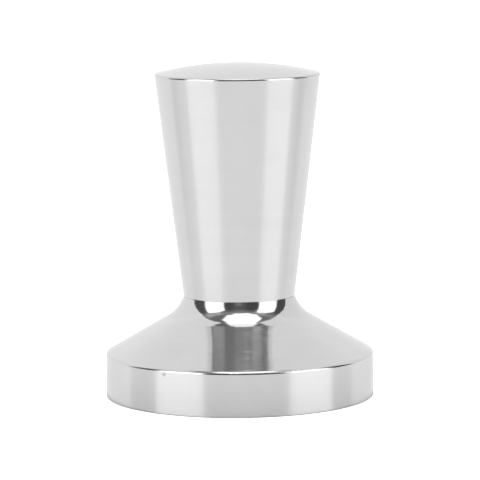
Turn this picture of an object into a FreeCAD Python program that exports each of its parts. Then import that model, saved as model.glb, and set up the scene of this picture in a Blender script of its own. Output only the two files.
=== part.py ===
import FreeCAD, Part

import math
import os

from FreeCAD import Vector

# Espresso tamper for 58 mm baskets.  A turned aluminium foot carries a thread-locked M8 stud, and a tapered
# aluminium handle screws down over the stud until its end face seats on the foot, with an O-ring between.
# Millimetres, +Z up, origin at the centre of the flat tamping face.  Every piece is turned about the Z axis.

# Foot
BASKET_DIAMETER = 58.0
RIM_HEIGHT = 9.47
CONE_SLOPE = math.radians(30.1)
JOINT_HEIGHT = 21.85
NECK_RADIUS = 12.08
SWEEP_RADIUS = 8.0
RIM_EDGE_BREAK = 0.45
RIM_EDGE_SLOPE = math.radians(40.0)
RIM_EDGE_ROUND = 0.5
FACE_EDGE_ROUND = 0.2

# Handle
HANDLE_END_RADIUS = 12.1
HANDLE_TOP_RADIUS = 17.9
HANDLE_TAPER_LENGTH = 48.0
DOME_RISE = 2.2
DOME_EDGE_ROUND = 0.45
JOINT_EDGE_BREAK = 0.04

# M8 x 1.25 thread, eased on both sides so that the pieces run freely.  A ridge is the stud's crest, or the
# groove that takes it in a tapped hole, and one ridge crosses the XZ plane at every whole number of pitches.
THREAD_PITCH = 1.25
FLANK_ANGLE = math.radians(30.0)
PITCH_RADIUS = 3.594
FLANK_EASE = 0.045
STUD_CREST_RADIUS = 3.95
STUD_ROOT_RADIUS = 3.25
BORE_CREST_RADIUS = 3.4
BORE_ROOT_RADIUS = 4.05
ROWS_PER_TURN = 24
POINTS_ACROSS = 3

# Stud: a 25 mm set screw, half of it in the foot, with plain ends and a hexagon socket in the upper one
STUD_LENGTH = 25.0
STUD_END_HEIGHT = 0.6
STUD_END_RADIUS = 3.15
STUD_END_CHAMFER = 0.25
STUD_IN_FOOT = 12.5
SOCKET_WIDTH = 4.0
SOCKET_DEPTH = 4.0

# Tapped hole in the foot, with a relief below the thread and a counterbored mouth above it
THREAD_RELIEF_HEIGHT = 1.6
THREAD_RELIEF_RADIUS = 4.15
MOUTH_RADIUS = 4.3
MOUTH_DEPTH = 0.9
MOUTH_CHAMFER = 0.4

# Threaded insert, bonded into the handle a little below flush
INSERT_RECESS = 0.2
INSERT_RADIUS = 6.0
INSERT_LENGTH = 13.0
INSERT_MOUTH_RADIUS = 4.2
INSERT_MOUTH_DEPTH = 0.25
FLANGE_RADIUS = 7.0
FLANGE_THICKNESS = 1.0
BOND_GROOVE_DEPTH = 0.3
BOND_GROOVE_WIDTH = 1.2
BOND_GROOVE_HEIGHTS = (4.0, 7.0, 10.0)

# Bore of the handle above the insert
STUD_CLEARANCE_RADIUS = 4.25
STUD_CLEARANCE_DEPTH = 2.5
DRILL_POINT_ANGLE = math.radians(118.0)

# O-ring, squeezed flat in a groove in the handle's end face
RING_CENTRE_RADIUS = 9.3
RING_SECTION = 1.5
GROOVE_WIDTH = 2.2
GROOVE_DEPTH = 1.15

AXIS_POINT = Vector(0, 0, 0)
UP = Vector(0, 0, 1)
EDGE_MATCH = 1e-4
SEAM_TOLERANCE = 1e-6

foot_radius = BASKET_DIAMETER / 2
rim_edge_height = RIM_EDGE_BREAK * math.tan(RIM_EDGE_SLOPE)
rim_wall_top = RIM_HEIGHT + RIM_EDGE_BREAK * math.tan(CONE_SLOPE) - rim_edge_height
handle_top = JOINT_HEIGHT + HANDLE_TAPER_LENGTH
stud_bottom = JOINT_HEIGHT - STUD_IN_FOOT
stud_top = stud_bottom + STUD_LENGTH
stud_thread_bottom = stud_bottom + STUD_END_HEIGHT
stud_thread_top = stud_top - STUD_END_HEIGHT
insert_bottom = JOINT_HEIGHT + INSERT_RECESS
insert_top = insert_bottom + INSERT_LENGTH


def at(radius, height):
    """A point on the half-section of a turned piece."""
    return Vector(radius, 0, height)


def revolve(edges):
    """The solid swept by a closed outline about the Z axis."""
    return Part.Face(Part.Wire(edges)).revolve(AXIS_POINT, UP, 360)


def turned(*points):
    """The solid swept by a closed polygon about the Z axis."""
    return revolve(Part.makePolygon(list(points) + [points[0]]).Edges)


def line(start, end):
    return Part.LineSegment(start, end).toShape()


def arc(start, middle, end):
    return Part.Arc(start, middle, end).toShape()


def cylinder(radius, bottom, top):
    return Part.makeCylinder(radius, top - bottom, at(0, bottom), UP)


def ring(inner, outer, bottom, top):
    return cylinder(outer, bottom, top).cut(cylinder(inner, bottom, top))


def circle_edge(shape, radius, height):
    """The circular edge of a turned shape at this radius and height."""
    for edge in shape.Edges:
        curve = edge.Curve
        if isinstance(curve, Part.Circle) and abs(curve.Radius - radius) < EDGE_MATCH:
            if abs(curve.Center.z - height) < EDGE_MATCH:
                return edge
    raise ValueError(f"no edge of radius {radius} at height {height}")


def ridge_half(radius, ease):
    """Half a ridge's axial width at a radius, made wider by ease on each flank."""
    return THREAD_PITCH / 4 + ease - (radius - PITCH_RADIUS) * math.tan(FLANK_ANGLE)


def helical_face(start, end):
    """The face swept by a straight line, given as two (radius, height) ends, over one turn of the helix."""
    rows = []
    for row in range(ROWS_PER_TURN + 1):
        turn = row / ROWS_PER_TURN
        angle = 2 * math.pi * turn
        line_points = []
        for column in range(POINTS_ACROSS + 1):
            share = column / POINTS_ACROSS
            radius = start[0] + (end[0] - start[0]) * share
            height = start[1] + (end[1] - start[1]) * share + THREAD_PITCH * turn
            line_points.append(Vector(radius * math.cos(angle), radius * math.sin(angle), height))
        rows.append(line_points)
    surface = Part.BSplineSurface()
    surface.interpolate(rows)
    return surface.toShape()


def threaded_rod(root, crest, ease, bottom, top):
    """A right-hand threaded rod with flat ends.

    The thread is one pitch of its profile swept turn by turn, closed at each end by a helical ramp and the
    step beside it.  It is swept past both ends and then trimmed flat.
    """
    crest_half = ridge_half(crest, ease)
    root_half = ridge_half(root, ease)
    half_pitch = THREAD_PITCH / 2
    profile = [
        (root, -half_pitch),
        (root, -root_half),
        (crest, -crest_half),
        (crest, crest_half),
        (root, root_half),
        (root, half_pitch),
    ]
    first = math.floor(bottom / THREAD_PITCH) - 1
    last = math.ceil(top / THREAD_PITCH) + 1
    faces = []
    for pitch in range(first, last):
        points = [(radius, pitch * THREAD_PITCH + height) for radius, height in profile]
        faces += [helical_face(start, end) for start, end in zip(points, points[1:])]
    for pitch in (first, last):
        points = [(radius, pitch * THREAD_PITCH + height) for radius, height in profile]
        ramp_height = points[0][1]
        faces.append(helical_face((0, ramp_height), (root, ramp_height)))
        step = [at(0, ramp_height)] + [at(*point) for point in points] + [at(0, points[-1][1])]
        faces.append(Part.Face(Part.makePolygon(step + step[:1])))
    shell = Part.makeShell(faces)
    shell.sewShape(SEAM_TOLERANCE)
    return Part.makeSolid(shell).common(cylinder(2 * crest, bottom, top))


def tapped_hole(bottom, top):
    """The solid whose removal leaves a tapped hole."""
    return threaded_rod(BORE_CREST_RADIUS, BORE_ROOT_RADIUS, FLANK_EASE, bottom, top)


def foot_outline():
    """The foot's half-section: rim, bevelled edge, cone, and a concave sweep tangent to the cone.

    The rim's height is measured to the point where its wall would meet the cone.
    """
    cone_at_neck = RIM_HEIGHT + (foot_radius - NECK_RADIUS) * math.tan(CONE_SLOPE)
    offset = (JOINT_HEIGHT - cone_at_neck) * math.cos(CONE_SLOPE)
    end_angle = math.pi / 2 - CONE_SLOPE
    start_angle = end_angle - math.acos(1 - offset / SWEEP_RADIUS)
    centre_radius = NECK_RADIUS + SWEEP_RADIUS * math.cos(start_angle)
    centre_height = JOINT_HEIGHT + SWEEP_RADIUS * math.sin(start_angle)

    def on_sweep(angle):
        inward = SWEEP_RADIUS * math.cos(angle)
        drop = SWEEP_RADIUS * math.sin(angle)
        return at(centre_radius - inward, centre_height - drop)

    face_centre = at(0, 0)
    face_edge = at(foot_radius, 0)
    rim_edge = at(foot_radius, rim_wall_top)
    cone_bottom = at(foot_radius - RIM_EDGE_BREAK, rim_wall_top + rim_edge_height)
    cone_top = on_sweep(end_angle)
    neck = on_sweep(start_angle)
    neck_centre = at(0, JOINT_HEIGHT)
    return [
        line(face_centre, face_edge),
        line(face_edge, rim_edge),
        line(rim_edge, cone_bottom),
        line(cone_bottom, cone_top),
        arc(cone_top, on_sweep((start_angle + end_angle) / 2), neck),
        line(neck, neck_centre),
        line(neck_centre, face_centre),
    ]


def make_base():
    body = revolve(foot_outline())
    body = body.makeFillet(RIM_EDGE_ROUND, [circle_edge(body, foot_radius, rim_wall_top)])
    body = body.makeFillet(FACE_EDGE_ROUND, [circle_edge(body, foot_radius, 0)])
    body = body.makeChamfer(JOINT_EDGE_BREAK, [circle_edge(body, NECK_RADIUS, JOINT_HEIGHT)])
    thread_bottom = stud_bottom + THREAD_RELIEF_HEIGHT
    thread_top = JOINT_HEIGHT - MOUTH_DEPTH
    relief = cylinder(THREAD_RELIEF_RADIUS, stud_bottom, thread_bottom)
    mouth = turned(
        at(0, thread_top),
        at(MOUTH_RADIUS, thread_top),
        at(MOUTH_RADIUS, JOINT_HEIGHT - MOUTH_CHAMFER),
        at(MOUTH_RADIUS + MOUTH_CHAMFER, JOINT_HEIGHT),
        at(0, JOINT_HEIGHT),
    )
    hole = tapped_hole(thread_bottom, thread_top).fuse(relief).fuse(mouth)
    return body.cut(hole)


def stud_end(inner, outer):
    """A plain end of the stud, from the thread's end plane to its own chamfered face."""
    outward = math.copysign(STUD_END_CHAMFER, outer - inner)
    return turned(
        at(0, inner),
        at(STUD_END_RADIUS, inner),
        at(STUD_END_RADIUS, outer - outward),
        at(STUD_END_RADIUS - STUD_END_CHAMFER, outer),
        at(0, outer),
    )


def make_stud():
    body = threaded_rod(
        STUD_ROOT_RADIUS, STUD_CREST_RADIUS, -FLANK_EASE, stud_thread_bottom, stud_thread_top
    )
    body = body.fuse(stud_end(stud_thread_bottom, stud_bottom))
    body = body.fuse(stud_end(stud_thread_top, stud_top))
    corner_radius = SOCKET_WIDTH / 2 / math.cos(math.pi / 6)
    corners = [
        Vector(corner_radius * math.cos(turn), corner_radius * math.sin(turn), stud_top - SOCKET_DEPTH)
        for turn in (side * math.pi / 3 for side in range(6))
    ]
    hexagon = Part.Face(Part.makePolygon(corners + corners[:1]))
    return body.cut(hexagon.extrude(UP * SOCKET_DEPTH))


def make_handle():
    top_centre = at(0, handle_top + DOME_RISE)
    top_edge = at(HANDLE_TOP_RADIUS, handle_top)
    dome_radius = (HANDLE_TOP_RADIUS**2 + DOME_RISE**2) / (2 * DOME_RISE)
    half_angle = math.asin(HANDLE_TOP_RADIUS / dome_radius) / 2
    dome_middle = at(
        dome_radius * math.sin(half_angle),
        handle_top + DOME_RISE - dome_radius * (1 - math.cos(half_angle)),
    )
    end_centre = at(0, JOINT_HEIGHT)
    end_edge = at(HANDLE_END_RADIUS, JOINT_HEIGHT)
    body = revolve([
        line(end_centre, end_edge),
        line(end_edge, top_edge),
        arc(top_edge, dome_middle, top_centre),
        line(top_centre, end_centre),
    ])
    body = body.makeFillet(DOME_EDGE_ROUND, [circle_edge(body, HANDLE_TOP_RADIUS, handle_top)])
    body = body.makeChamfer(JOINT_EDGE_BREAK, [circle_edge(body, HANDLE_END_RADIUS, JOINT_HEIGHT)])
    flange_pocket = cylinder(FLANGE_RADIUS, JOINT_HEIGHT, insert_bottom + FLANGE_THICKNESS)
    insert_pocket = cylinder(INSERT_RADIUS, JOINT_HEIGHT, insert_top)
    bore_end = insert_top + STUD_CLEARANCE_DEPTH
    drill_point = STUD_CLEARANCE_RADIUS / math.tan(DRILL_POINT_ANGLE / 2)
    bore = turned(
        at(0, JOINT_HEIGHT),
        at(STUD_CLEARANCE_RADIUS, JOINT_HEIGHT),
        at(STUD_CLEARANCE_RADIUS, bore_end),
        at(0, bore_end + drill_point),
    )
    groove = ring(
        RING_CENTRE_RADIUS - GROOVE_WIDTH / 2,
        RING_CENTRE_RADIUS + GROOVE_WIDTH / 2,
        JOINT_HEIGHT,
        JOINT_HEIGHT + GROOVE_DEPTH,
    )
    return body.cut(flange_pocket).cut(insert_pocket).cut(bore).cut(groove)


def make_handle_thread_insert():
    body = cylinder(INSERT_RADIUS, insert_bottom, insert_top)
    body = body.fuse(cylinder(FLANGE_RADIUS, insert_bottom, insert_bottom + FLANGE_THICKNESS))
    for height in BOND_GROOVE_HEIGHTS:
        bottom = insert_bottom + height
        inner = INSERT_RADIUS - BOND_GROOVE_DEPTH
        body = body.cut(ring(inner, INSERT_RADIUS + BOND_GROOVE_DEPTH, bottom, bottom + BOND_GROOVE_WIDTH))
    thread_bottom = insert_bottom + INSERT_MOUTH_DEPTH
    thread_top = insert_top - INSERT_MOUTH_DEPTH
    hole = tapped_hole(thread_bottom, thread_top)
    hole = hole.fuse(cylinder(INSERT_MOUTH_RADIUS, insert_bottom, thread_bottom))
    hole = hole.fuse(cylinder(INSERT_MOUTH_RADIUS, thread_top, insert_top))
    return body.cut(hole)


def make_joint_o_ring():
    """The ring as the closed joint squeezes it: flat above and below, its section's area unchanged."""
    end_round = GROOVE_DEPTH / 2
    flat = (math.pi * RING_SECTION**2 / 4 - math.pi * end_round**2) / GROOVE_DEPTH
    middle = JOINT_HEIGHT + end_round
    inner = RING_CENTRE_RADIUS - flat / 2
    outer = RING_CENTRE_RADIUS + flat / 2
    top = JOINT_HEIGHT + GROOVE_DEPTH
    return revolve([
        line(at(inner, JOINT_HEIGHT), at(outer, JOINT_HEIGHT)),
        arc(at(outer, JOINT_HEIGHT), at(outer + end_round, middle), at(outer, top)),
        line(at(outer, top), at(inner, top)),
        arc(at(inner, top), at(inner - end_round, middle), at(inner, JOINT_HEIGHT)),
    ])


PIECES = {
    "base": make_base,
    "stud": make_stud,
    "handle": make_handle,
    "handle_thread_insert": make_handle_thread_insert,
    "joint_o_ring": make_joint_o_ring,
}

os.makedirs("parts", exist_ok=True)
for node, make in PIECES.items():
    shape = make()
    if not shape.isValid() or len(shape.Solids) != 1:
        raise ValueError(f"{node} is not one valid solid")
    solid = shape.Solids[0]
    solid.exportStep(f"parts/{node}.step")
    print(f"{node}: {solid.Volume / 1000:.3f} cm3")
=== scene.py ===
import math

import bpy
from mathutils import Matrix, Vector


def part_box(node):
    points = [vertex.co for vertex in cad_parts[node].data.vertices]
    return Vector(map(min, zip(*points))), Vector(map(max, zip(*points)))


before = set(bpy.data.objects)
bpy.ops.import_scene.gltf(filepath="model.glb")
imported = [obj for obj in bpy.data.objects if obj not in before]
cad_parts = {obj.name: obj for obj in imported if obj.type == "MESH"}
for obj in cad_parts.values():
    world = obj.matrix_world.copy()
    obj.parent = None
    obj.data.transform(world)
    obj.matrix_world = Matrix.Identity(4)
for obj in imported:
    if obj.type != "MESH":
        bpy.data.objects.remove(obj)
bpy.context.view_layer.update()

# A polished metal espresso tamper on a plain pale floor, lit by two tall soft boxes, one overhead panel and a
# pale backdrop.  Metres throughout, with the origin at the centre of the flat underside.


def degrees(*angles):
    return tuple(math.radians(angle) for angle in angles)


# Camera: in front of the object, a little above it, tipped down and rolled slightly
CAMERA_DISTANCE = 0.6769
CAMERA_HEIGHT = 0.1223
CAMERA_PITCH = math.radians(7.459)
CAMERA_YAW = math.radians(-0.0235)
CAMERA_ROLL = math.radians(-0.514)
SENSOR_WIDTH = 36.0  # millimetres, as the lens is
LENS = 237.0
CAMERA_CLIP = 0.01

# Studio.  A level is a radiance, where 1 is what the lens shows as white.  Azimuths run from the front (-Y)
# towards +X.  Places overhead are x / z and y / z of their direction, so a straight edge there is straight.

# Front room
FRONT_ELEVATIONS = degrees(44, 60)
FRONT_LEVELS = (0.06, 0.37)
FRONT_TOP = degrees(53, 65)
FRONT_TOP_SHARE = 0.45
# Faint patches of light in it: azimuths, elevations, softness of the edges, level.  The last two are spilt by
# the soft boxes below them.
FRONT_PATCHES = (
    (degrees(-13, 15), degrees(5, 62), math.radians(5), 0.05),
    (degrees(-8, 5), degrees(22, 34), math.radians(2.5), 0.13),
    (degrees(-90, -48), degrees(47, 58), math.radians(4), 0.28),
    (degrees(40, 71), degrees(47, 58), math.radians(4), 0.28),
)

# Backdrop: its level and how that tilts with x, then its front edge, whose ends sweep back
BACKDROP_LEVEL = 0.97
BACKDROP_TILT = -0.06
BACKDROP_EDGE = 0.13
BACKDROP_EDGE_SLANT = 0.03
BACKDROP_EDGE_SHIFT = 0.07
BACKDROP_EDGE_HALF = 0.93
BACKDROP_EDGE_SWEEP = 0.42
BACKDROP_SOFTNESS = 0.012
BACKDROP_STRIP_WIDTH = 0.035
BACKDROP_STRIP_LEVEL = 0.25
BACKDROP_LIFT_PLACE = (0.62, 0.95)
BACKDROP_LIFT_SOFTNESS = 0.15
BACKDROP_LIFT = 0.045

# Soft boxes: azimuths of the sides low down and at the top, and the top edge as shares of x, y and z
SOFT_BOXES = (
    (degrees(-76, -30.5), degrees(-78, -34.8), (-0.52, -0.31, -0.52)),
    (degrees(43, 85.5), degrees(44.5, 85), (1.03, -1.0, -1.1)),
)
BOX_LEAN_ELEVATIONS = degrees(8, 34)
BOX_EDGE = math.radians(0.6)
BOX_TOP_SOFTNESS = 0.015
BOX_LEVEL = 1.9

# Overhead panel
PANEL_CENTRE = (0.06, -0.245)
PANEL_HALF = 0.365
PANEL_STRETCH = 1.06
PANEL_CORNER = 0.38
PANEL_EDGE = 0.012
PANEL_LEVEL = 1.9
LEAST_HEIGHT = 0.05  # the least z that x / z and y / z are worked out with

# Floor: its size and finish, and its glow, which falls towards the back; near the object and under it the
# glow falls as a painted contact shadow
FLOOR_RADIUS = 6
FLOOR_SIDES = 128
FLOOR_ALBEDO = 0.76
FLOOR_ROUGHNESS = 0.36
FLOOR_GLOW = 0.36
FLOOR_BACK = (-0.02, 0.05)
FLOOR_BACK_SHARE = 0.72
FLOOR_NEAR_PAINTED_SHADE = (0.035, 0.08)
FLOOR_NEAR_SHARE = 0.72
FLOOR_PAINTED_CONTACT_SHADOW = (0.0292, 0.0315)
FLOOR_SEEN_GLOW = 1.1

# Finishes.  Sizes and depths are in metres, and colours, brightness, darkness and roughness are shares of 1.
# A range is where soft noise turns from none to all.
SKIN = 0.00006
GRIP_SKIN = 0.00018
SKIN_SOFTNESS = 0.0001
FAR = 1.0  # past every part of the object

# Polished aluminium
ALUMINIUM = (0.625, 0.625, 0.625)
POLISH_ROUGHNESS = 0.06
OXIDE_HAZE = 0.03
FINE_PITCH = 0.0005
FINE_DEPTH = 1.2e-6
COARSE_PITCH = 0.0016
COARSE_DEPTH = 4e-6
MARK_DRIFT = 0.02
MARK_ROUGHNESS = 0.03
MARK_BRIGHTNESS = 0.05
FOOT_MARKS = 3.0  # how much deeper the foot's turning marks are
HANDLE_MARKS = 1.0
CUT_PITCH = 0.0003
CUT_DEPTH = 6e-6
CUT_DRIFT = 0.2
CUT_ROUGHNESS = 0.16
CUT_DARKNESS = 0.12
FACE_SHARE = 0.5  # how much of the machining is left on the tamping face
CLOUD_SIZE = 0.015
CLOUD_ROUGHNESS = 0.04
CLOUD_BRIGHTNESS = 0.04
SMUDGE_SIZE = 0.012
SMUDGE_RANGE = (0.5, 0.72)
SMUDGE_ROUGHNESS = 0.05
SMUDGE_DARKNESS = 0.015
SMUDGE_HAZE = 0.02
SCRATCH_TURN = (0.3, 0.5, 0.2)  # radians
SCRATCH_STRETCH = (60.0, 900.0, 90.0)  # per metre
SCRATCH_RANGE = (0.76, 0.8)
SCRATCH_DEPTH = 4e-6
SCRATCH_ROUGHNESS = 0.08
EDGE_BAND = 0.0008
EDGE_ROUGHNESS = 0.04
DENT_CELL = 0.0016
DENT_SHARE = 0.1
DENT_RADIUS = 0.12  # as a share of the cell
DENT_DEPTH = 1.5e-5
DENT_DARKNESS = 0.15
NICK_RADIUS = 0.0007
NICK_DARKNESS = 0.3

# Places on the pieces that their boxes don't give
BORE_RADIUS = 0.0049
RIM_EDGE_HEIGHT = 0.00935
RIM_NICK = (-0.0159, -0.02425, 0.0086)
GRIP_END_RADIUS = 0.0121
GRIP_BORE_DEPTH = 0.03
DOME_HEIGHT = 0.0022
STUD_ROOT = 0.00325
STUD_CREST = 0.00395
INSERT_ROOT = 0.00405
INSERT_CREST = 0.00345

# Machined steel
STEEL = (0.5, 0.49, 0.47)
STEEL_BRIGHTNESS = 0.58
STEEL_ROUGHNESS = 0.27
# Painted shade: how much darker the thread roots are painted than the crests
STEEL_PAINTED_ROOT_SHADE = 0.42
STEEL_WORN_POLISH = 0.1
STEEL_GRAIN = 0.0004
STEEL_GRAIN_DEPTH = 4e-6
STEEL_GRAIN_BRIGHTNESS = 0.1
STEEL_GRAIN_ROUGHNESS = 0.1
STEEL_STAIN = 0.003
STEEL_STAIN_RANGE = (0.45, 0.75)
STEEL_STAIN_DARKNESS = 0.16
STEEL_STAIN_ROUGHNESS = 0.14
STEEL_MARK_PITCH = 0.00025
STEEL_MARK_DEPTH = 2e-6
STEEL_MARK_ROUGHNESS = 0.06

# Black rubber
RUBBER = (0.02, 0.02, 0.021)
RUBBER_BRIGHTNESS = 0.75
RUBBER_ROUGHNESS = 0.5
RUBBER_MOTTLE = 0.002
RUBBER_MOTTLE_DEPTH = 4e-5
RUBBER_MOTTLE_BRIGHTNESS = 0.5
RUBBER_MOTTLE_ROUGHNESS = 0.12
RUBBER_GRAIN = 0.00025
RUBBER_GRAIN_DEPTH = 8e-6
RUBBER_GREASE = 0.006
RUBBER_GREASE_RANGE = (0.45, 0.65)
RUBBER_GREASE_POLISH = 0.2
RUBBER_SPECK = 0.0006
RUBBER_SPECK_RANGE = (0.68, 0.74)
RUBBER_SPECK_BRIGHTNESS = 1.6
RUBBER_SPECK_ROUGHNESS = 0.2


class Nodes:
    """Short helpers for building one node tree."""

    def __init__(self, tree):
        tree.nodes.clear()
        self.tree = tree

    def add(self, kind, **inputs):
        node = self.tree.nodes.new(kind)
        for name, value in inputs.items():
            self.set(node, name.replace("_", " "), value)
        return node

    def set(self, node, name, value):
        socket = node.inputs[name]
        if isinstance(value, bpy.types.NodeSocket):
            self.tree.links.new(value, socket)
        else:
            socket.default_value = value

    def math(self, operation, first, second=None, third=None):
        node = self.tree.nodes.new("ShaderNodeMath")
        node.operation = operation
        for index, value in enumerate((first, second, third)):
            if value is not None:
                self.set(node, index, value)
        return node.outputs[0]

    def window(self, value, low, high, soft):
        """1 between low and high and 0 outside them, with edges this soft."""
        rise = self.ramp(value, low - soft, low + soft)
        fall = self.ramp(value, high - soft, high + soft, 1.0, 0.0)
        return self.math("MULTIPLY", rise, fall)

    def mix(self, share, first, second):
        """A number that goes from first to second as share goes from 0 to 1."""
        node = self.tree.nodes.new("ShaderNodeMix")
        node.data_type = "FLOAT"
        self.set(node, 0, share)
        self.set(node, 2, first)
        self.set(node, 3, second)
        return node.outputs[0]

    def ramp(self, value, low, high, low_out=0.0, high_out=1.0):
        """A smooth step from low_out to high_out as value goes from low to high."""
        node = self.tree.nodes.new("ShaderNodeMapRange")
        node.interpolation_type = "SMOOTHSTEP"
        self.set(node, "Value", value)
        self.set(node, "From Min", low)
        self.set(node, "From Max", high)
        self.set(node, "To Min", low_out)
        self.set(node, "To Max", high_out)
        return node.outputs[0]


def make_camera():
    data = bpy.data.cameras.new("camera")
    data.sensor_width = SENSOR_WIDTH
    data.lens = LENS
    data.clip_start = CAMERA_CLIP
    camera = bpy.data.objects.new("camera", data)
    bpy.context.scene.collection.objects.link(camera)
    camera.matrix_world = (
        Matrix.Translation((0, -CAMERA_DISTANCE, CAMERA_HEIGHT))
        @ Matrix.Rotation(CAMERA_YAW, 4, "Z")
        @ Matrix.Rotation(math.pi / 2 - CAMERA_PITCH, 4, "X")
        @ Matrix.Rotation(CAMERA_ROLL, 4, "Z")
    )
    bpy.context.scene.camera = camera


class Studio(Nodes):
    """The world's node tree, as a function of direction."""

    def __init__(self, tree):
        super().__init__(tree)
        place = self.add("ShaderNodeTexCoord")
        split = self.add("ShaderNodeSeparateXYZ", Vector=place.outputs["Generated"])
        self.x, self.y, self.z = split.outputs
        self.azimuth = self.math("ARCTAN2", self.x, self.math("MULTIPLY", self.y, -1.0))
        self.elevation = self.math("ARCSINE", self.z)
        self.height = self.math("MAXIMUM", self.z, LEAST_HEIGHT)

    def front_room(self):
        """The level of the dark room in front, lightest where its walls meet the ceiling."""
        level = self.ramp(self.elevation, *FRONT_ELEVATIONS, *FRONT_LEVELS)
        level = self.math("MULTIPLY", level, self.ramp(self.elevation, *FRONT_TOP, 1.0, FRONT_TOP_SHARE))
        for azimuths, elevations, softness, strength in FRONT_PATCHES:
            across = self.window(self.azimuth, *azimuths, softness)
            patch = self.math("MULTIPLY", across, self.window(self.elevation, *elevations, softness))
            level = self.math("MULTIPLY_ADD", patch, strength, level)
        return level

    def backdrop(self, level):
        """The level with the backdrop over it, which curves overhead to a front edge with a bright strip."""
        sideways = self.math("ABSOLUTE", self.math("MULTIPLY_ADD", self.z, BACKDROP_EDGE_SHIFT, self.x))
        beyond = self.math("MAXIMUM", self.math("MULTIPLY_ADD", self.z, -BACKDROP_EDGE_HALF, sideways), 0.0)
        edge = self.math("MULTIPLY_ADD", self.z, -BACKDROP_EDGE, self.y)
        edge = self.math("MULTIPLY_ADD", self.x, -BACKDROP_EDGE_SLANT, edge)
        inside = self.math("MULTIPLY_ADD", beyond, -BACKDROP_EDGE_SWEEP, edge)
        sheet = self.math("MULTIPLY_ADD", self.x, BACKDROP_TILT, BACKDROP_LEVEL)
        aside = self.math("DIVIDE", sideways, self.height)
        lift = self.window(aside, *BACKDROP_LIFT_PLACE, BACKDROP_LIFT_SOFTNESS)
        sheet = self.math("MULTIPLY_ADD", lift, BACKDROP_LIFT, sheet)
        level = self.mix(self.ramp(inside, 0.0, BACKDROP_SOFTNESS), level, sheet)
        strip = self.window(inside, 0.0, BACKDROP_STRIP_WIDTH, BACKDROP_SOFTNESS)
        return self.math("MULTIPLY_ADD", strip, BACKDROP_STRIP_LEVEL, level)

    def soft_box(self, low, high, top_edge):
        """1 inside a tall soft box, given its sides' azimuths low down and at its top, and its top edge."""
        lean = self.ramp(self.elevation, *BOX_LEAN_ELEVATIONS)
        after_start = self.math("SUBTRACT", self.azimuth, self.mix(lean, low[0], high[0]))
        before_end = self.math("SUBTRACT", self.mix(lean, low[1], high[1]), self.azimuth)
        box = self.ramp(after_start, -BOX_EDGE, BOX_EDGE)
        box = self.math("MULTIPLY", box, self.ramp(before_end, -BOX_EDGE, BOX_EDGE))
        top = self.math("MULTIPLY_ADD", self.y, top_edge[1], self.math("MULTIPLY", self.x, top_edge[0]))
        top = self.math("MULTIPLY_ADD", self.z, top_edge[2], top)
        return self.math("MULTIPLY", box, self.ramp(top, -BOX_TOP_SOFTNESS, BOX_TOP_SOFTNESS))

    def panel(self):
        """1 inside the overhead panel, an octagon."""
        across = self.math("SUBTRACT", self.math("DIVIDE", self.x, self.height), PANEL_CENTRE[0])
        along = self.math("SUBTRACT", self.math("DIVIDE", self.y, self.height), PANEL_CENTRE[1])
        across = self.math("ABSOLUTE", across)
        along = self.math("MULTIPLY", self.math("ABSOLUTE", along), PANEL_STRETCH)
        corner_share = math.sqrt(0.5) * PANEL_HALF / PANEL_CORNER
        corner = self.math("MULTIPLY", self.math("ADD", across, along), corner_share)
        reach = self.math("MAXIMUM", self.math("MAXIMUM", across, along), corner)
        panel = self.ramp(reach, PANEL_HALF - PANEL_EDGE, PANEL_HALF + PANEL_EDGE, 1.0, 0.0)
        return self.math("MULTIPLY", panel, self.math("GREATER_THAN", self.z, 0.0))


def make_world():
    """The studio.  The lens sees it as white at least; the metal sees its true levels."""
    world = bpy.data.worlds.new("studio")
    bpy.context.scene.world = world
    world.use_nodes = True
    n = Studio(world.node_tree)
    level = n.backdrop(n.front_room())
    for low, high, top_edge in SOFT_BOXES:
        level = n.math("MULTIPLY_ADD", n.soft_box(low, high, top_edge), BOX_LEVEL, level)
    level = n.math("MULTIPLY_ADD", n.panel(), PANEL_LEVEL, level)
    rays = n.add("ShaderNodeLightPath")
    shown = n.math("MAXIMUM", level, rays.outputs["Is Camera Ray"])
    colour = n.add("ShaderNodeCombineColor", Red=shown, Green=shown, Blue=shown)
    background = n.add("ShaderNodeBackground", Color=colour.outputs[0])
    out = n.add("ShaderNodeOutputWorld")
    n.set(out, "Surface", background.outputs[0])


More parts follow.
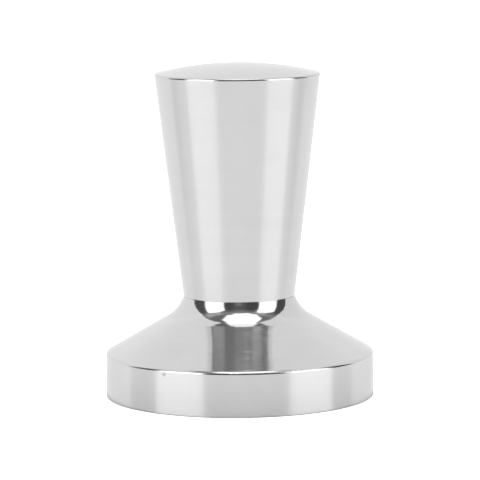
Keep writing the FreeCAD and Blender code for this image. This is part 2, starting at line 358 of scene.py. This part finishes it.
def make_floor():
    """A plain pale floor.  The lens sees it as white as the backdrop; the metal sees its own tone and glow,
    with painted contact shade near the object.
    """
    bpy.ops.mesh.primitive_circle_add(vertices=FLOOR_SIDES, radius=FLOOR_RADIUS, fill_type="NGON")
    floor = bpy.context.object
    floor.name = "floor"
    material = bpy.data.materials.new("floor")
    material.use_nodes = True
    n = Nodes(material.node_tree)
    rays = n.add("ShaderNodeLightPath")
    place = n.add("ShaderNodeTexCoord")
    split = n.add("ShaderNodeSeparateXYZ", Vector=place.outputs["Object"])
    radius = n.add("ShaderNodeVectorMath", Vector=place.outputs["Object"])
    radius.operation = "LENGTH"
    radius = radius.outputs["Value"]
    glow = n.ramp(split.outputs[1], *FLOOR_BACK, FLOOR_GLOW, FLOOR_GLOW * FLOOR_BACK_SHARE)
    # Near the object and at its rim the glow falls away: a painted contact shadow on the floor
    glow = n.math("MULTIPLY", glow, n.ramp(radius, *FLOOR_NEAR_PAINTED_SHADE, FLOOR_NEAR_SHARE, 1.0))
    glow = n.math("MULTIPLY", glow, n.ramp(radius, *FLOOR_PAINTED_CONTACT_SHADOW))
    glow = n.math("MULTIPLY_ADD", rays.outputs["Is Camera Ray"], FLOOR_SEEN_GLOW, glow)
    shader = n.add("ShaderNodeBsdfPrincipled", Base_Color=(*[FLOOR_ALBEDO] * 3, 1), Roughness=FLOOR_ROUGHNESS)
    n.set(shader, "Emission Color", (1, 1, 1, 1))
    n.set(shader, "Emission Strength", glow)
    out = n.add("ShaderNodeOutputMaterial")
    n.set(out, "Surface", shader.outputs[0])
    floor.data.materials.append(material)


def outside_of(node):
    """The lowest and highest z of a node and its widest radius, from its box at rest."""
    low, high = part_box(node)
    return low[2], high[2], high[0]


class Turned(Nodes):
    """A node tree for a piece turned about the Z axis, in the object's own coordinates."""

    def __init__(self, tree):
        super().__init__(tree)
        place = self.add("ShaderNodeTexCoord")
        self.place = place.outputs["Object"]
        split = self.add("ShaderNodeSeparateXYZ", Vector=self.place)
        self.x, self.y, self.z = split.outputs
        square = self.math("MULTIPLY_ADD", self.y, self.y, self.math("MULTIPLY", self.x, self.x))
        self.radius = self.math("SQRT", square)
        # Distance along a profile: it grows up a wall and inward over a face
        self.along = self.math("SUBTRACT", self.z, self.radius)

    def noise(self, size, detail=2.0, vector=None):
        """Soft noise from 0 to 1, with features of about this size in metres."""
        node = self.add("ShaderNodeTexNoise", Vector=vector or self.place, Scale=1 / size, Detail=detail)
        return node.outputs[0]

    def marks(self, pitch, drift, detail=1.0):
        """Turning marks: bands across the profile that come and go slowly round the piece."""
        place = self.add(
            "ShaderNodeCombineXYZ",
            X=self.math("MULTIPLY", self.along, 1 / pitch),
            Y=self.math("MULTIPLY", self.x, 1 / drift),
            Z=self.math("MULTIPLY", self.y, 1 / drift),
        )
        return self.noise(1.0, detail, place.outputs[0])

    def dents(self, size, share, near):
        """Small handling dents, 1 at their middle, in this share of cells and only where near is 1."""
        cells = self.add("ShaderNodeTexVoronoi", Vector=self.place, Scale=1 / size)
        lot = self.add("ShaderNodeSeparateColor", Color=cells.outputs["Color"]).outputs[0]
        chosen = self.math("LESS_THAN", lot, share)
        pit = self.ramp(cells.outputs["Distance"], 0.0, DENT_RADIUS, 1.0, 0.0)
        return self.math("MULTIPLY", self.math("MULTIPLY", pit, chosen), near)

    def between(self, value, low, high):
        """1 between two sizes on the piece, with an edge too sharp to see."""
        return self.window(value, low, high, SKIN_SOFTNESS)

    def total(self, *terms):
        """The sum of value times share over the given (value, share) pairs."""
        total = 0.0
        for value, share in terms:
            total = self.math("MULTIPLY_ADD", value, share, total)
        return total

    def bump(self, *layers):
        """A normal bent by layers of (height from 0 to 1, depth in metres)."""
        bump = self.add("ShaderNodeBump", Height=self.total(*layers), Distance=1.0)
        return bump.outputs[0]

    def finish(self, colour, roughness, normal, metallic=1.0):
        shader = self.add("ShaderNodeBsdfPrincipled", Roughness=roughness, Normal=normal, Metallic=metallic)
        self.set(shader, "Base Color", colour)
        out = self.add("ShaderNodeOutputMaterial")
        self.set(out, "Surface", shader.outputs[0])

    def tint(self, colour, brightness):
        """A colour multiplied by a brightness that varies over the piece."""
        parts = [self.math("MULTIPLY", brightness, channel) for channel in colour]
        return self.add("ShaderNodeCombineColor", Red=parts[0], Green=parts[1], Blue=parts[2]).outputs[0]


def new_material(name):
    material = bpy.data.materials.new(name)
    material.use_nodes = True
    return material, Turned(material.node_tree)


def polished(name, machined, edges, mark_share, nick_place=None):
    """Hand-polished turned aluminium.

    machined(n) gives 1 where the surface is left as machined: faces and bores that polishing never reached.
    edges is the list of (height, radius) circles along which handling leaves its dents, mark_share scales the
    depth of the turning marks that show through the polish, and nick_place is the middle of one dark nick.
    """
    material, n = new_material(name)
    rough_side = machined(n)
    fine = n.marks(FINE_PITCH, MARK_DRIFT)
    coarse = n.marks(COARSE_PITCH, MARK_DRIFT, 2.0)
    cut = n.marks(CUT_PITCH, CUT_DRIFT, 0.0)
    cloud = n.noise(CLOUD_SIZE, 3.0)
    smudge = n.ramp(n.noise(SMUDGE_SIZE, 4.0), *SMUDGE_RANGE)
    scratch_place = n.add("ShaderNodeMapping", Vector=n.place, Rotation=SCRATCH_TURN, Scale=SCRATCH_STRETCH)
    scratch = n.ramp(n.noise(1.0, 0.0, scratch_place.outputs[0]), *SCRATCH_RANGE)
    near = 0.0
    for height, radius in edges:
        off_z = n.math("SUBTRACT", n.z, height)
        off_r = n.math("SUBTRACT", n.radius, radius)
        square = n.math("MULTIPLY_ADD", off_z, off_z, n.math("MULTIPLY", off_r, off_r))
        band = n.ramp(n.math("SQRT", square), EDGE_BAND / 2, EDGE_BAND, 1.0, 0.0)
        near = n.math("MAXIMUM", near, band)
    dent = n.dents(DENT_CELL, DENT_SHARE, near)
    nick = 0.0
    if nick_place:
        away = n.add("ShaderNodeVectorMath", Vector=n.place)
        away.operation = "DISTANCE"
        away.inputs[1].default_value = nick_place
        nick = n.ramp(away.outputs["Value"], 0.0, NICK_RADIUS, 1.0, 0.0)
        dent = n.math("MAXIMUM", dent, nick)
    normal = n.bump(
        (fine, FINE_DEPTH * mark_share),
        (coarse, COARSE_DEPTH * mark_share),
        (n.math("MULTIPLY", cut, rough_side), CUT_DEPTH),
        (dent, -DENT_DEPTH),
        (scratch, -SCRATCH_DEPTH),
    )
    roughness = n.total(
        (cloud, CLOUD_ROUGHNESS),
        (smudge, SMUDGE_ROUGHNESS),
        (fine, MARK_ROUGHNESS),
        (scratch, SCRATCH_ROUGHNESS),
        (near, EDGE_ROUGHNESS),
        (rough_side, CUT_ROUGHNESS),
        (1.0, POLISH_ROUGHNESS),
    )
    brightness = n.total(
        (coarse, MARK_BRIGHTNESS),
        (cloud, CLOUD_BRIGHTNESS),
        (smudge, -SMUDGE_DARKNESS),
        (rough_side, -CUT_DARKNESS),
        (dent, -DENT_DARKNESS),
        (nick, -NICK_DARKNESS),
        (1.0, 1.0),
    )
    metallic = n.total((smudge, -SMUDGE_HAZE), (1.0, 1.0 - OXIDE_HAZE))
    n.finish(n.tint(ALUMINIUM, brightness), roughness, normal, metallic)
    return material


def foot_material():
    """The foot: its bore and seat are as machined, and its tamping face is polished by half."""
    low, high, widest = outside_of("base")

    def machined(n):
        bore = n.math("MULTIPLY", n.between(n.radius, -FAR, BORE_RADIUS), n.between(n.z, low + SKIN, FAR))
        seat = n.between(n.z, high - SKIN, high + SKIN)
        face = n.math("MULTIPLY", n.between(n.z, low - SKIN, low + SKIN), FACE_SHARE)
        return n.math("MAXIMUM", n.math("MAXIMUM", bore, seat), face)

    edges = [(low, widest), (RIM_EDGE_HEIGHT, widest)]
    return polished("polished_aluminium_foot", machined, edges, FOOT_MARKS, RIM_NICK)


def handle_material():
    """The grip: everything inside its tapered skin is as machined, as far up as the bore goes."""
    low, high, widest = outside_of("handle")
    taper = (widest - GRIP_END_RADIUS) / (high - DOME_HEIGHT - low)

    def machined(n):
        skin = n.math("MULTIPLY_ADD", n.math("SUBTRACT", n.z, low), taper, GRIP_END_RADIUS - GRIP_SKIN)
        inner = n.ramp(n.math("SUBTRACT", skin, n.radius), 0.0, SKIN)
        return n.math("MULTIPLY", inner, n.between(n.z, low - FAR, low + GRIP_BORE_DEPTH))

    edges = [(high - DOME_HEIGHT, widest), (low, GRIP_END_RADIUS)]
    return polished("polished_aluminium_handle", machined, edges, HANDLE_MARKS)


def steel_material(name, root, crest):
    """Machined steel: bright worn crests over thread roots darkened with painted shade, fine marks and faint
    stains.
    """
    material, n = new_material(name)
    # This ramp is 1 on the crests and 0 in the roots: it makes the worn crests smoother, and it paints shade
    # into the roots
    crest_wear_and_root_shade = n.ramp(n.radius, root, crest)
    grain = n.noise(STEEL_GRAIN, 3.0)
    marks = n.marks(STEEL_MARK_PITCH, MARK_DRIFT)
    stain = n.ramp(n.noise(STEEL_STAIN, 4.0), *STEEL_STAIN_RANGE)
    brightness = n.total(
        (crest_wear_and_root_shade, STEEL_PAINTED_ROOT_SHADE),
        (grain, STEEL_GRAIN_BRIGHTNESS),
        (stain, -STEEL_STAIN_DARKNESS),
        (1.0, STEEL_BRIGHTNESS),
    )
    roughness = n.total(
        (crest_wear_and_root_shade, -STEEL_WORN_POLISH),
        (grain, STEEL_GRAIN_ROUGHNESS),
        (marks, STEEL_MARK_ROUGHNESS),
        (stain, STEEL_STAIN_ROUGHNESS),
        (1.0, STEEL_ROUGHNESS),
    )
    normal = n.bump((grain, STEEL_GRAIN_DEPTH), (marks, STEEL_MARK_DEPTH))
    n.finish(n.tint(STEEL, brightness), roughness, normal)
    return material


def rubber_material():
    """Black nitrile: matt and slightly mottled, with grease on part of it and specks of coffee dust."""
    material, n = new_material("black_nitrile_rubber")
    mottle = n.noise(RUBBER_MOTTLE, 4.0)
    grain = n.noise(RUBBER_GRAIN, 2.0)
    grease = n.ramp(n.noise(RUBBER_GREASE, 2.0), *RUBBER_GREASE_RANGE)
    specks = n.ramp(n.noise(RUBBER_SPECK, 1.0), *RUBBER_SPECK_RANGE)
    brightness = n.total(
        (mottle, RUBBER_MOTTLE_BRIGHTNESS), (specks, RUBBER_SPECK_BRIGHTNESS), (1.0, RUBBER_BRIGHTNESS)
    )
    roughness = n.total(
        (mottle, RUBBER_MOTTLE_ROUGHNESS),
        (grease, -RUBBER_GREASE_POLISH),
        (specks, RUBBER_SPECK_ROUGHNESS),
        (1.0, RUBBER_ROUGHNESS),
    )
    normal = n.bump((grain, RUBBER_GRAIN_DEPTH), (mottle, RUBBER_MOTTLE_DEPTH))
    n.finish(n.tint(RUBBER, brightness), roughness, normal, 0.0)
    return material


def finish_nodes():
    finishes = {
        "base": foot_material(),
        "handle": handle_material(),
        "stud": steel_material("steel_stud_painted_root_shade", STUD_ROOT, STUD_CREST),
        "handle_thread_insert": steel_material("turned_steel_insert", INSERT_ROOT, INSERT_CREST),
        "joint_o_ring": rubber_material(),
    }
    for name, material in finishes.items():
        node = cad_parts[name]
        node.data.materials.clear()
        node.data.materials.append(material)


make_camera()
make_world()
make_floor()
finish_nodes()
bpy.context.scene.view_settings.view_transform = "Standard"
